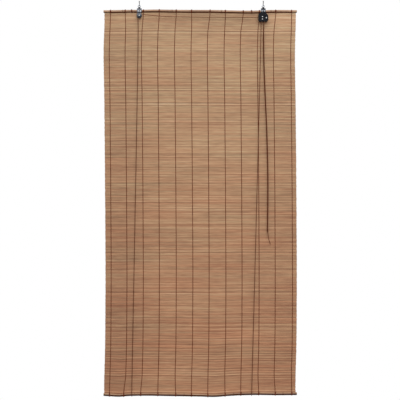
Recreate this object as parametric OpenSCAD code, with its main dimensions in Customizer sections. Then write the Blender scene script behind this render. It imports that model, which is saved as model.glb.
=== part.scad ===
// Bamboo roll-up blind
// A mat of split bamboo slats hangs between two canes. Two S-hooks carry the head cane by folded
// steel hangers. The left hanger holds a cord pulley and the right one a cord lock, and pulling
// both cords rolls the mat up from its foot.
// The front faces -Y. The origin is the point of the hanging line above the middle of the blind,
// at the height where the hooks bear on what they hang from.

/* [Blind] */
// Length of both canes, which is the width of the blind
blind_w = 800; // [600:10:1400]
// Drop from the top of the head cane to the bottom of the foot cane
blind_drop = 1600; // [900:10:2200]
// Diameter of the head cane
head_d = 11; // [8:0.5:13]
// Diameter of the foot cane
foot_d = 12; // [8:0.5:18]
// How far each cane reaches past the slats
cane_overhang = 4; // [0:0.5:10]
// Height of the ridge at a bamboo node
cane_ridge_h = 0.6; // [0.2:0.1:1]
// Length of the ridge at a bamboo node
cane_ridge_w = 6; // [3:0.5:9]

/* [Slats] */
// Spacing of the slats down the mat
slat_pitch = 5; // [4:0.1:8]
// Thickness of a slat
slat_t = 2; // [1.4:0.1:3]
// Thickness of the web where two slats meet
web_t = 0.8; // [0.5:0.1:1.2]
// Height of the bevel along each edge of a slat
slat_bevel = 0.7; // [0.5:0.1:1.2]
// Height of an open slit between slats
slit_h = 0.6; // [0.3:0.1:0.9]
// Slats from one open slit to the next
slats_per_slit = 3; // [3:1:8]
// Slat that stays whole at each end of a slit
slit_margin = 12; // [6:1:18]

/* [Strings] */
// Warp strings across the mat
string_count = 12; // [8:1:16]
// Distance of the first and last string from the slat ends
string_inset = 20.9; // [16:0.1:40]
// Width of a warp string
string_w = 1.6; // [1:0.1:2.4]
// Thickness of a warp string
string_t = 0.8; // [0.5:0.1:1.2]
// Thread of the lashings round the canes
thread_d = 1.3; // [0.8:0.1:1.6]
// Turns of thread in a lashing
thread_turns = 3; // [2:1:4]

/* [Hangers] */
// Distance of the left hanger outwards from the third string on its side
left_hanger_reach = 13.3; // [13:0.1:30]
// Distance of the right hanger outwards from the third string on its side
right_hanger_reach = 22.3; // [14:0.1:30]
// Rise of a hanger's eye above the axis of the head cane
eye_rise = 21; // [19:0.2:30]
// Outer diameter of the eye
eye_d = 13.2; // [11:0.2:16]
// Hole in the eye
eye_hole_d = 6; // [5:0.1:7]
// Width of the neck between eye and saddle
neck_w = 8; // [6:0.5:11]
// Sheet that hangers, cheek and plate are made of
sheet_t = 1.2; // [0.8:0.1:1.6]
// Width of the saddle over the cane
saddle_w = 20; // [16:0.5:24]
// Reach of the saddle above the axis of the cane
saddle_above = 12.5; // [8:0.5:13]
// Reach of the saddle below the axis of the cane
saddle_below = 6; // [4:0.5:8]
// Corner radius of the saddle
saddle_corner = 2; // [1:0.5:3]
// Spacing of the two screws in a saddle
screw_spacing = 9.2; // [7:0.2:10]
// Shank of a saddle screw
screw_d = 2; // [1.6:0.1:2.4]
// Wire of the hooks
hook_wire_d = 3; // [2:0.1:3.2]
// Radius of the hook bends to the middle of the wire
hook_bend_r = 5.1; // [4.9:0.1:8]

/* [Pulleys] */
// Radius of the wheels to the middle of the cord
wheel_pitch_r = 6; // [5.5:0.1:7]
// Flange height above the middle of the cord
flange_h = 1.4; // [1.2:0.1:1.6]
// Flange thickness
flange_t = 1.1; // [0.8:0.1:1.6]
// Axles, pivots and spacer rivets
axle_d = 3; // [2.4:0.1:3.4]
// Rivet head
rivet_head_d = 5; // [4.4:0.1:6]
// Height of a rivet's domed head
rivet_head_h = 1.3; // [0.8:0.1:2]
// Height of a rivet's flat head
rivet_flat_h = 0.8; // [0.4:0.1:1.2]
// Spacer sleeves
spacer_d = 5; // [4.6:0.1:5.6]
// Drop of the left wheel below the head cane
left_wheel_drop = 18.5; // [18.5:0.5:24]
// Drop of the left spacer below the head cane
left_spacer_drop = 8.2; // [7.5:0.1:8.3]
// Rim of the left cheek beyond the wheel
cheek_rim = 3.4; // [1:0.1:4]
// Rim of the left cheek round its spacer
cheek_tongue = 3; // [2:0.1:4]

/* [Cord lock] */
// Wheel's distance left of the hanger's middle
lock_wheel_reach = 4; // [3:0.1:5]
// Wheel's drop below the head cane
lock_wheel_drop = 34.5; // [34.5:0.5:38]
// Spacer's drop below the head cane
lock_spacer_drop = 24.2; // [22:0.1:24.2]
// Cam pivot's distance right of the hanger's middle
cam_reach = 12; // [12:0.1:15]
// Cam pivot's drop below the head cane
cam_drop = 29; // [28.5:0.1:32.5]
// Rim of the plate beyond the wheel
lock_rim = 2.5; // [1:0.1:3]
// Reach of the plate left of the wheel
lock_side_reach = 17; // [13:0.5:18]
// Radius of the plate's four corners
lock_side_r = 8; // [5:0.5:8]
// Drop of the plate's upper left corner below the head cane
lock_side_drop = 18; // [17:0.5:20]
// Drop of the plate's corner above the cam below the head cane
cam_side_drop = 22; // [20:0.5:24]
// Rim of the plate round the cam's hub
cam_rim = 3.7; // [2:0.1:5]
// Radius of the plate's top corner
lock_shoulder_r = 7; // [6:0.1:8]
// Drop of the plate's top corner below the head cane
lock_shoulder_drop = 8; // [7.5:0.1:10]
// Radius of the cam's hub
cam_hub_r = 4; // [3:0.1:5]
// Cam's radius where its teeth start
cam_short_r = 7.6; // [6:0.1:7.6]
// Cam's radius where its teeth end
cam_long_r = 10.8; // [9:0.1:10.8]
// Depth of the cam's teeth
cam_tooth_h = 0.6; // [0.3:0.1:0.8]
// Teeth on the cam
cam_teeth = 7; // [4:1:9]

/* [Cords] */
// Lift and pull cord
cord_d = 2.4; // [2:0.1:2.5]

/* [Hidden] */
$fn = 48;

// Cuts run past the faces that they open
overrun = 1;
// Thread, sleeves, screws and sheet lie this close on what carries them
snug_gap = 0.05;
// Radial clearance of a wheel or cam on its axle
axle_gap = 0.05;
// Clearance beside a wheel or cam, and of a cord in its groove
run_gap = 0.3;
// Room between pieces that only hang against each other
seat_gap = 0.3;
// Play of a hook in the hanger's eye
hook_play = 0.4;
// Bend of a hook at each end, in degrees
hook_bend_angle = 250;
// Angles of the cam's first and last tooth and of its heel, from +X towards +Z
cam_first_angle = 215;
cam_last_angle = 262;
cam_heel_angle = 285;
// Heel of the cam as a share of its longest radius
cam_heel_share = 0.62;
// Spacing of a lashing's turns as a share of the thread
thread_spacing_share = 0.9;
// Flat top of a bamboo ridge as a share of its length
ridge_top_share = 0.3;
// Bamboo nodes of the two canes: first bay, bays between nodes, and place in the bay as a share
head_node_first = 0;
foot_node_first = 1;
node_bays = 3;
head_node_share = 0.78;
foot_node_share = 0.5;
// Outline corners are rounded with this many sides
corner_sides = 32;
cord_sides = 8;

// Heights, from the hooks down
hook_in_r = hook_bend_r - hook_wire_d / 2;
hook_top_z = -hook_in_r;
hook_low_z = hook_top_z - 2 * hook_bend_r;
eye_z = hook_low_z - hook_in_r + hook_play - eye_hole_d / 2;
head_z = eye_z - eye_rise;
head_r = head_d / 2;
foot_r = foot_d / 2;
foot_z = head_z + head_r + foot_r - blind_drop;

// Mat and strings
lashing_h = snug_gap + thread_d;
mat_top = head_z - head_r - max(lashing_h, snug_gap + cord_d) - seat_gap;
mat_bottom = foot_z + foot_r + lashing_h + seat_gap;
mat_h = mat_top - mat_bottom;
slat_w = blind_w - 2 * cane_overhang;
slat_count = floor(mat_h / slat_pitch);
slat_step = mat_h / slat_count;
slit_count = ceil(slat_count / slats_per_slit) - 1;
string_step = (slat_w - 2 * string_inset) / (string_count - 1);
string_places = [for (i = [0 : string_count - 1]) string_inset - slat_w / 2 + i * string_step];

// Hangers, and the layers of wheels and plates in front of the cane
left_x = string_places[2] - left_hanger_reach;
right_x = string_places[string_count - 3] + right_hanger_reach;
saddle_in_r = head_r + snug_gap;
saddle_out_r = saddle_in_r + sheet_t;
groove_r = cord_d / 2 + run_gap;
groove_step = 2 * groove_r + flange_t;
flange_r = wheel_pitch_r + flange_h;
wheel_back = -saddle_out_r - run_gap;
left_wheel_w = groove_step + flange_t;
lock_wheel_w = 2 * groove_step + flange_t;
left_gap = left_wheel_w + 2 * run_gap;
lock_gap = lock_wheel_w + 2 * run_gap;
cheek_r = flange_r + cheek_rim;
left_leg = left_wheel_drop + cheek_r;
lock_leg = lock_wheel_drop + flange_r + lock_rim;
hanger_depth = saddle_out_r + overrun;
bore_d = axle_d + 2 * snug_gap;

// Where the cords pass under the foot cane, left and right, and the ball of each knot
left_loop_x = -283;
right_loop_x = 213;
knot_ball_r = 2.4;

// Cord routes from end to end, as chosen along the cords
left_front_route = [
    [-258, -9.6, -59.5], [-257, -9.6, -88], [-256.4, -9.5, -130], [-282.6, -7.5, -1600], [-283, -7.5, -1630]
];
right_front_route = [
    [251, -13.8, -75.5], [251.2, -13.8, -104.5], [213.6, -7.5, -1600], [213, -7.5, -1630]
];
left_back_route = [[-283, 7.5, -1630], [-283, 7.5, -46]];
right_back_route = [[213, 7.5, -1630], [213, 7.5, -46]];
left_loop_route = [
    [-283, -7.5, -1630], [-283, -6.5, -1633.8], [-283, -3.8, -1636.5], [-283, 0, -1637.5],
    [-283, 3.8, -1636.5], [-283, 6.5, -1633.8], [-283, 7.5, -1630]
];
right_loop_route = [
    [213, -7.5, -1630], [213, -6.5, -1633.8], [213, -3.8, -1636.5], [213, 0, -1637.5],
    [213, 3.8, -1636.5], [213, 6.5, -1633.8], [213, 7.5, -1630]
];
cross_route = [
    [-258, -9.6, -59.5], [-257.2, -9.6, -56.5], [-255, -9.6, -54.3], [-252, -9.6, -53.5], [-240, -9.6, -54.4],
    [-200, -9.6, -59.3], [-166, -9.6, -62.2], [-129, -9.6, -64.2], [-100, -9.6, -65.2], [-50, -9.6, -66.2],
    [20, -9.6, -66.8], [120, -9.6, -67], [220, -9.6, -67.8], [257, -9.6, -69.5], [260, -9.6, -70.3],
    [262.2, -9.6, -72.5], [263, -9.6, -75.5], [263, -9.6, -89.5]
];
lock_route = [
    [251, -13.8, -75.5], [251.8, -13.8, -72.5], [254, -13.8, -70.3], [257, -13.8, -69.5],
    [260, -13.8, -70.3], [262.2, -13.8, -72.5], [263, -13.8, -75.5], [263, -13.8, -89.5]
];
left_tail_route = [
    [263, -9.6, -89.5], [261, -9.6, -118], [260.4, -9.6, -160], [261, -9.6, -210], [262, -9.6, -260],
    [264.2, -9.6, -320], [266.6, -9.6, -380], [269.8, -9.6, -450], [273, -9.6, -520], [275.2, -9.6, -590],
    [277.1, -9.6, -660], [278.2, -9.6, -740], [278.2, -9.6, -820], [277.3, -9.6, -890], [276.8, -9.6, -957]
];
right_tail_route = [
    [263, -13.8, -89.5], [262.6, -13.3, -118], [262.8, -12.5, -160], [263.4, -11.3, -210], [264.6, -10.3, -260],
    [266.8, -9.8, -320], [269.2, -9.6, -380], [272.4, -9.6, -450], [275.6, -9.6, -520], [277.8, -9.6, -590],
    [279.7, -9.6, -660], [280.8, -9.6, -740], [280.8, -9.6, -820], [279.9, -9.6, -890], [279.5, -9.6, -945],
    [279.9, -9.6, -958], [280.8, -9.6, -970], [282.5, -9.6, -980], [284.7, -9.6, -989], [287.6, -9.6, -998],
    [290, -9.6, -1005]
];

function unit(v) = v / norm(v);

// Direction of a route at point i
function heading(route, i) =
    unit(unit(route[i + 1] - route[i]) + unit(route[i] - route[i - 1]));

// Ring of a cord's section round a point, square to a direction
function cord_ring(at, along, side) =
    let (u = unit(cross(side, along)), v = cross(along, u))
    [for (k = [0 : cord_sides - 1])
        let (a = (k + 0.5) * 360 / cord_sides)
        at + cord_d / 2 * (cos(a) * u + sin(a) * v)];

// A 2D outline in x and z becomes a sheet whose rear face is at y and that is t thick
module sheet(y, t) {
    translate([0, y, 0]) rotate([90, 0, 0]) linear_extrude(t) children();
}

// A shape along +Z turns to run forwards from y
module forwards(x, y, z) {
    translate([x, y, z]) rotate([90, 0, 0]) children();
}

// A shape round +Z turns to lie along the canes
module along_cane(x, z) {
    translate([x, 0, z]) rotate([0, 90, 0]) children();
}

// Domed head of diameter d and height h on the plane z = 0
module dome(d, h) {
    ball_r = (d * d / 4 + h * h) / (2 * h);
    rotate_extrude() intersection() {
        translate([0, h - ball_r]) circle(ball_r);
        square([d / 2, h]);
    }
}

// Cord that follows a route, cut square to the directions start and end
module cord(route, side, start, end) {
    last = len(route) - 1;
    rings = [for (i = [0 : last])
        cord_ring(route[i], i == 0 ? start : i == last ? end : heading(route, i), side)];
    n = cord_sides;
    sides = [for (i = [0 : last - 1], k = [0 : n - 1])
        let (a = i * n + k, b = i * n + (k + 1) % n)
        each [[a, a + n, b + n], [a, b + n, b]]];
    caps = [[for (k = [0 : n - 1]) k], [for (k = [0 : n - 1]) (last + 1) * n - 1 - k]];
    color("#4a3226") polyhedron([for (ring = rings) each ring], concat(sides, caps));
}

// S-hook: one wire, bent over at the top and under at the foot
module hook(x) {
    color("#b8bcc0") translate([x, 0, 0]) rotate([90, 0, 90]) {
        translate([0, hook_top_z]) rotate(-90) hook_bend();
        translate([0, hook_low_z]) rotate(90) hook_bend();
    }
}

// Bend that starts where the two bends of a hook meet
module hook_bend() {
    rotate_extrude(angle = -hook_bend_angle) translate([hook_bend_r, 0]) circle(d = hook_wire_d);
}

// Hanger strip from the side, with the cane's axis at 0: eye tab, saddle and two legs
module hanger_side(leg) {
    difference() {
        union() {
            intersection() {
                circle(saddle_out_r);
                translate([-saddle_out_r, 0]) square([2 * saddle_out_r, saddle_out_r]);
            }
            translate([-sheet_t, 0]) square([2 * sheet_t, eye_rise + eye_d / 2]);
            translate([-saddle_out_r, -leg]) square([sheet_t, leg]);
            translate([saddle_in_r, -saddle_below]) square([sheet_t, saddle_below]);
        }
        circle(saddle_in_r);
    }
}

// Hanger strip from the front, without its leg
module hanger_front() {
    translate([0, eye_rise]) circle(d = eye_d);
    translate([-neck_w / 2, 0]) square([neck_w, eye_rise]);
    hull() for (x = [-1, 1], z = [saddle_corner - saddle_below, saddle_above - saddle_corner])
        translate([x * (saddle_w / 2 - saddle_corner), z]) circle(saddle_corner, $fn = corner_sides);
}

// Hanger at x, with the rivet holes given in x and z from the cane's axis; the child outlines its leg
module hanger(x, leg, rivets) {
    color("#a9adb0") translate([x, 0, head_z]) difference() {
        intersection() {
            rotate([90, 0, 90]) linear_extrude(2 * lock_leg, center = true) hanger_side(leg);
            sheet(hanger_depth, 2 * hanger_depth) {
                hanger_front();
                children();
            }
        }
        forwards(0, hanger_depth, eye_rise) cylinder(d = eye_hole_d, h = 2 * hanger_depth);
        for (side = [-1, 1]) forwards(side * screw_spacing / 2, 0, 0)
            cylinder(d = screw_d + 2 * snug_gap, h = hanger_depth);
        for (at = rivets) forwards(at[0], 0, at[1]) cylinder(d = bore_d, h = hanger_depth);
    }
}

// Two round-headed screws through a saddle, with points at the middle of the cane
module hanger_screws(x) {
    color("#d8d8d6") for (side = [-1, 1]) translate([x + side * screw_spacing / 2, 0, head_z]) {
        forwards(0, -saddle_out_r, 0) dome(2 * screw_d, screw_d / 2);
        forwards(0, 0, 0) cylinder(d1 = 0, d2 = screw_d, h = screw_d);
        forwards(0, -screw_d, 0) cylinder(d = screw_d, h = saddle_out_r - screw_d);
    }
}

// Rivet through the rear cheek, a gap and the front cheek
module rivet(x, z, gap) {
    grip = 2 * sheet_t + gap;
    color("#d8d8d6") {
        forwards(x, -saddle_in_r, z) cylinder(d = axle_d, h = grip);
        forwards(x, rivet_flat_h - saddle_in_r, z) cylinder(d = rivet_head_d, h = rivet_flat_h);
        forwards(x, -saddle_in_r - grip, z) dome(rivet_head_d, rivet_head_h);
    }
}

module spacer(x, z, gap) {
    color("#8f9296") forwards(x, -saddle_out_r, z) difference() {
        cylinder(d = spacer_d, h = gap);
        translate([0, 0, -overrun]) cylinder(d = bore_d, h = gap + 2 * overrun);
    }
}

// Wheel with round-bottomed cord grooves
module wheel(x, z, grooves) {
    bore_r = axle_d / 2 + axle_gap;
    color("#2b2b2d") forwards(x, wheel_back, z) rotate_extrude() difference() {
        translate([bore_r, 0]) square([flange_r - bore_r, grooves * groove_step + flange_t]);
        for (i = [0 : grooves - 1]) translate([wheel_pitch_r, flange_t + groove_r + i * groove_step]) {
            circle(groove_r);
            translate([0, -groove_r]) square([flange_h + overrun, 2 * groove_r]);
        }
    }
}

// Outlines of the left cheek and of the lock plate, from the cane's axis
module cheek_outline() {
    hull() {
        translate([0, -left_wheel_drop]) circle(cheek_r, $fn = 2 * corner_sides);
        translate([0, -left_spacer_drop]) circle(spacer_d / 2 + cheek_tongue, $fn = corner_sides);
    }
}

module lock_outline() {
    left = lock_side_r - lock_wheel_reach - lock_side_reach;
    right = cam_reach + cam_hub_r + cam_rim - lock_side_r;
    low = lock_leg - lock_side_r;
    hull() {
        translate([0, -lock_shoulder_drop]) circle(lock_shoulder_r, $fn = corner_sides);
        for (at = [[left, lock_side_drop], [right, cam_side_drop], [left, low], [right, low]])
            translate([at[0], -at[1]]) circle(lock_side_r, $fn = corner_sides);
    }
}

left_rivets = [[0, -left_wheel_drop], [0, -left_spacer_drop]];
lock_rivets = [
    [-lock_wheel_reach, -lock_wheel_drop], [-lock_wheel_reach, -lock_spacer_drop], [cam_reach, -cam_drop]
];

// Front sheet of the pulley or lock, with its rivet holes; the child is its outline
module front_sheet(x, gap, rivets) {
    color("#34373c") translate([x, 0, head_z]) difference() {
        sheet(-saddle_out_r - gap, sheet_t) children();
        for (at = rivets) forwards(at[0], 0, at[1])
            cylinder(d = bore_d, h = saddle_out_r + gap + sheet_t + overrun);
    }
}

// Cane with a ridge at each bamboo node, from the first bay given
module cane(z, r, first, place_share) {
    ridges = [for (i = [first : node_bays : string_count - 2])
        string_places[i] + place_share * string_step];
    top = ridge_top_share * cane_ridge_w / 2;
    outline = concat(
        [[0, -blind_w / 2], [r, -blind_w / 2]],
        [for (x = ridges) each [
            [r, x - cane_ridge_w / 2], [r + cane_ridge_h, x - top],
            [r + cane_ridge_h, x + top], [r, x + cane_ridge_w / 2]
        ]],
        [[r, blind_w / 2], [0, blind_w / 2]]
    );
    along_cane(0, z) rotate_extrude() polygon(outline);
}

// Lashing of thread round a cane, at each string
module lashings(z, r) {
    spacing = thread_spacing_share * thread_d;
    color("#4a3226") for (x = string_places) along_cane(x, z) rotate_extrude()
        for (i = [0 : thread_turns - 1])
            translate([r + snug_gap + thread_d / 2, (i - (thread_turns - 1) / 2) * spacing])
                circle(d = thread_d);
}

// Row of warp strings on one face of the mat, in front or behind
module strings(facing) {
    y = facing * (slat_t / 2 + snug_gap + string_t / 2);
    color("#5a3d2c") for (x = string_places)
        translate([x, y, (mat_top + mat_bottom) / 2]) cube([string_w, string_t, mat_h], center = true);
}

// Turn of cord round the head cane with its knot behind
module cord_knot(x) {
    turn_r = head_r + snug_gap + cord_d / 2;
    color("#4a3226") {
        along_cane(x, head_z) rotate_extrude() translate([turn_r, 0]) circle(d = cord_d);
        translate([x, head_r + seat_gap + knot_ball_r, head_z]) sphere(knot_ball_r);
    }
}

module left_hook() { hook(left_x); }

module right_hook() { hook(right_x); }

module left_hanger() { hanger(left_x, left_leg, left_rivets) cheek_outline(); }

module right_hanger() { hanger(right_x, lock_leg, lock_rivets) lock_outline(); }

module left_hanger_screws() { hanger_screws(left_x); }

module right_hanger_screws() { hanger_screws(right_x); }

module left_cheek() { front_sheet(left_x, left_gap, left_rivets) cheek_outline(); }

module left_wheel() { wheel(left_x, head_z - left_wheel_drop, 1); }

module left_axle() { rivet(left_x, head_z - left_wheel_drop, left_gap); }

module left_spacer() { spacer(left_x, head_z - left_spacer_drop, left_gap); }

module left_spacer_rivet() { rivet(left_x, head_z - left_spacer_drop, left_gap); }

module lock_plate() { front_sheet(right_x, lock_gap, lock_rivets) lock_outline(); }

module lock_wheel() { wheel(right_x - lock_wheel_reach, head_z - lock_wheel_drop, 2); }

module lock_axle() { rivet(right_x - lock_wheel_reach, head_z - lock_wheel_drop, lock_gap); }

module lock_spacer() { spacer(right_x - lock_wheel_reach, head_z - lock_spacer_drop, lock_gap); }

module lock_spacer_rivet() { rivet(right_x - lock_wheel_reach, head_z - lock_spacer_drop, lock_gap); }

module lock_cam_pivot() { rivet(right_x + cam_reach, head_z - cam_drop, lock_gap); }

// Cam with a toothed edge whose radius grows, so that it grips harder as the cords pull it round
module lock_cam() {
    steps = 2 * cam_teeth;
    edge = [for (i = [0 : steps])
        let (share = i / steps, a = cam_first_angle + share * (cam_last_angle - cam_first_angle))
        (cam_short_r + share * (cam_long_r - cam_short_r) - (i % 2) * cam_tooth_h) * [cos(a), sin(a)]];
    heel = cam_heel_share * cam_long_r * [cos(cam_heel_angle), sin(cam_heel_angle)];
    color("#6f7276") forwards(right_x + cam_reach, wheel_back, head_z - cam_drop) difference() {
        linear_extrude(lock_wheel_w) {
            circle(cam_hub_r);
            polygon(concat([[0, 0]], edge, [heel]));
        }
        translate([0, 0, -overrun]) cylinder(r = axle_d / 2 + axle_gap, h = lock_wheel_w + 2 * overrun);
    }
}

// Head cane with pilot holes for the hangers' screws
module head_cane() {
    color("#9c7553") difference() {
        cane(head_z, head_r, head_node_first, head_node_share);
        for (x = [left_x, right_x], side = [-1, 1])
            forwards(x + side * screw_spacing / 2, snug_gap, head_z)
                cylinder(d = screw_d + 2 * snug_gap, h = head_r + overrun);
    }
}

module foot_cane() { color("#8a6144") cane(foot_z, foot_r, foot_node_first, foot_node_share); }

// Slats as ridges on one wall, with open slits between groups of slats
module slat_mat() {
    face = concat(
        [for (i = [0 : slat_count - 1]) each [
            [web_t / 2, mat_top - i * slat_step],
            [slat_t / 2, mat_top - i * slat_step - slat_bevel],
            [slat_t / 2, mat_top - (i + 1) * slat_step + slat_bevel]
        ]],
        [[web_t / 2, mat_bottom]]
    );
    back = [for (i = [len(face) - 1 : -1 : 0]) [-face[i][0], face[i][1]]];
    color("#ab8567") difference() {
        rotate([90, 0, 90]) linear_extrude(slat_w, center = true) polygon(concat(face, back));
        for (i = [1 : slit_count]) translate([0, 0, mat_top - i * slats_per_slit * slat_step])
            cube([slat_w - 2 * slit_margin, slat_t + overrun, slit_h], center = true);
    }
}

module front_strings() { strings(-1); }

module back_strings() { strings(1); }

module head_lashings() { lashings(head_z, head_r); }

module foot_lashings() { lashings(foot_z, foot_r); }

module left_cord_knot() { cord_knot(left_loop_x); }

module right_cord_knot() { cord_knot(right_loop_x); }

up = [0, 0, 1];
down = [0, 0, -1];
across = [1, 0, 0];
rearwards = [0, 1, 0];

module left_back_run() { cord(left_back_route, across, up, up); }

module left_foot_loop() { cord(left_loop_route, across, down, up); }

module left_front_run() { cord(left_front_route, rearwards, down, down); }

module cross_cord() { cord(cross_route, rearwards, up, down); }

module right_back_run() { cord(right_back_route, across, up, up); }

module right_foot_loop() { cord(right_loop_route, across, down, up); }

module right_front_run() { cord(right_front_route, rearwards, down, down); }

module lock_cord() { cord(lock_route, rearwards, up, down); }

module left_pull_tail() { cord(left_tail_route, rearwards, down, down); }

module right_pull_tail() {
    last = len(right_tail_route) - 1;
    cord(right_tail_route, rearwards, down, unit(right_tail_route[last] - right_tail_route[last - 1]));
}

left_hook();
right_hook();
left_hanger();
right_hanger();
left_hanger_screws();
right_hanger_screws();
left_cheek();
left_wheel();
left_axle();
left_spacer();
left_spacer_rivet();
lock_plate();
lock_wheel();
lock_axle();
lock_spacer();
lock_spacer_rivet();
lock_cam();
lock_cam_pivot();
head_cane();
foot_cane();
slat_mat();
front_strings();
back_strings();
head_lashings();
foot_lashings();
left_cord_knot();
left_back_run();
left_foot_loop();
left_front_run();
cross_cord();
right_cord_knot();
right_back_run();
right_foot_loop();
right_front_run();
lock_cord();
left_pull_tail();
right_pull_tail();
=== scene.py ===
import math

import bmesh
import bpy
import numpy as np
from mathutils import Matrix, Vector


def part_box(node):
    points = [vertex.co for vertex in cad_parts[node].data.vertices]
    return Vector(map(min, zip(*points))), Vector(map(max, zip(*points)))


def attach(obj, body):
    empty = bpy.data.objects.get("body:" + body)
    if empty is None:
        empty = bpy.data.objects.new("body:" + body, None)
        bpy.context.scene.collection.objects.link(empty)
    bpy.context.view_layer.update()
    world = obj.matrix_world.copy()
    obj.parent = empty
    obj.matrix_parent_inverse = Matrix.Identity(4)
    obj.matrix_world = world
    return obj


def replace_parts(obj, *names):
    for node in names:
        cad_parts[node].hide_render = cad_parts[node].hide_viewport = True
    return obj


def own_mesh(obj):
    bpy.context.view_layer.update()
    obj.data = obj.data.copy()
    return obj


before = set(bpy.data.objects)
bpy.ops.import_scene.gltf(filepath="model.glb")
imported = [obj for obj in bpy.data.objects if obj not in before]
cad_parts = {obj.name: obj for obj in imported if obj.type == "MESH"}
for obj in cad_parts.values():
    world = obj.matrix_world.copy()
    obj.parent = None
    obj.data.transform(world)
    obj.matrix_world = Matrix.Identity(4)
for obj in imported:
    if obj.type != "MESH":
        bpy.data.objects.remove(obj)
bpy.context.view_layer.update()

MM = 0.001
TURN = 2 * math.pi
scene = bpy.context.scene
rng = np.random.RandomState(41)

# Places of the canes and the mat, from the frame
head_low, head_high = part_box("head_cane")
foot_low, foot_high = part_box("foot_cane")
HEAD_Z = (head_low.z + head_high.z) / 2
FOOT_Z = (foot_low.z + foot_high.z) / 2
CANE_END = head_high.x
HEAD_R, FOOT_R = 5.5 * MM, 6 * MM
# The first and the last slat are pressed against the canes
PRESS = 0.5 * MM
MAT_TOP, MAT_FOOT = HEAD_Z - HEAD_R + PRESS, FOOT_Z + FOOT_R - PRESS
MAT_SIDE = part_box("slat_mat")[1].x
# Room between a cane and the thread or cord that goes round it
SEAT = 0.05 * MM

# Warp strings: even places on the slats, then the millimetres by which each one strays along the mat and
# at its lashings
STRINGS, FIRST_STRING, STRING_STEP = 12, -375.1 * MM, 68.2 * MM
STRING_DRIFT = [2.7, -0.2, -0.6, -2.3, -0.6, -0.2, -1.0, 0.2, -1.0, 1.4, -0.2, 3.1]
HEAD_TIE = [1.5, -3, 4.5, 4, 4, -1, 8, 2, 9, 5, 6, 0]
FOOT_TIE = [-1.5, -8, -5.5, -1, 2.8, -0.8, -0.4, 1.6, 0, 3, 5, 2]
TIE_REACH = 90 * MM

# Bends in millimetres: along each cane as (x, rise), and the sideways bow of the mat as (z, shift)
HEAD_BEND = [(-400, -0.8), (-340, 0.2), (-290, 1), (-252, 1), (-190, 2.2), (-100, 1.2), (0, 0.6), (60, 0.4),
             (120, -1), (185, -2.2), (215, -2.2), (261, -1), (300, 0.2), (340, 0.4), (400, -0.6)]
FOOT_BEND = [(-400, 2.4), (-370, 0.5), (-335, -1.2), (-300, 1.6), (-262, 2.7), (-190, 2.8), (-150, 2),
             (-80, 0.9), (0, -0.5), (66, -1.9), (110, 1.6), (150, 3.9), (220, 6), (330, 5.1), (400, 5.9)]
MAT_BOW = [(-1630, -1.5), (-1575, -1.2), (-1538, -0.6), (-1464, 1.5), (-1236, 3.7), (-822, 2.5), (-408, -1),
           (-180, -3.2), (-98, -0.6), (-41, 0)]


def curve(t, start, end, leave, arrive):
    """Smooth curve from start to end for t from 0 to 1, with the slopes at which it leaves and arrives."""
    return ((2 * t ** 3 - 3 * t ** 2 + 1) * start + (t ** 3 - 2 * t ** 2 + t) * leave
            + (3 * t ** 2 - 2 * t ** 3) * end + (t ** 3 - t ** 2) * arrive)


def through(points, at):
    """Smooth curve through the points of one of the bends, in metres."""
    px, py = np.array(points, float).T * MM
    slope = np.gradient(py, px)
    at = np.clip(np.asarray(at, float), px[0], px[-1])
    i = np.clip(np.searchsorted(px, at) - 1, 0, len(px) - 2)
    span = px[i + 1] - px[i]
    return curve((at - px[i]) / span, py[i], py[i + 1], span * slope[i], span * slope[i + 1])


def ease(t):
    """Soft step from 0 to 1."""
    t = np.clip(t, 0, 1)
    return t * t * (3 - 2 * t)


# The share of the mat that follows a cane's bend, and the wave of the mat from front to back
FOLLOW = 0.2
WAVE_DEPTH, WAVE_LENGTH = 1.2 * MM, 0.62


def hang(x, z):
    """What a point of the flat mat moves by as the mat hangs."""
    down = (MAT_TOP - z) / (MAT_TOP - MAT_FOOT)
    dx = through(MAT_BOW, z)
    dy = WAVE_DEPTH * np.sin(TURN * z / WAVE_LENGTH) * ease(down / FOLLOW) * ease((1 - down) / FOLLOW)
    dz = (through(HEAD_BEND, x) * np.exp(-np.clip(down, 0, 1) / FOLLOW)
          + through(FOOT_BEND, x) * np.exp(-np.clip(1 - down, 0, 1) / FOLLOW))
    return dx, dy, dz


def string_x(k, z):
    """Place of a warp string at a height, pulled aside near its lashings."""
    return (FIRST_STRING + k * STRING_STEP + STRING_DRIFT[k] * MM
            + HEAD_TIE[k] * MM * (1 - ease((HEAD_Z - z) / TIE_REACH))
            + FOOT_TIE[k] * MM * (1 - ease((z - FOOT_Z) / TIE_REACH)))


def linear(hex_code):
    """An sRGB hex colour as linear RGBA."""
    parts = [int(hex_code[i:i + 2], 16) / 255 for i in (1, 3, 5)]
    return [c / 12.92 if c <= 0.04045 else ((c + 0.055) / 1.055) ** 2.4 for c in parts] + [1.0]


# Sockets of a Mix node for colours, which share their names with those for numbers
MIX_FACTOR, MIX_A, MIX_B, MIX_RESULT = 0, 6, 7, 2


def wire(tree, node, inputs):
    """Fills inputs of a node: a value is set on the socket itself, and an output is linked to it."""
    for name, value in inputs.items():
        if isinstance(value, bpy.types.NodeSocket):
            tree.links.new(value, node.inputs[name])
        else:
            node.inputs[name].default_value = value


def add(tree, kind, inputs=None, stops=(), **settings):
    """Adds a node with its settings, its inputs and, for a ramp, its stops as (place, hex)."""
    made = tree.nodes.new(kind)
    for name, value in settings.items():
        setattr(made, name, value)
    if stops:
        elements = made.color_ramp.elements
        while len(elements) < len(stops):
            elements.new(1.0)
        for element, (position, hex_code) in zip(elements, stops):
            element.position, element.color = position, linear(hex_code)
    wire(tree, made, inputs or {})
    return made


def marks_of(*sizes):
    """Pattern scale for marks of these sizes in millimetres along x, y and z."""
    return [1 / (size * MM) for size in sizes]


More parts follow.
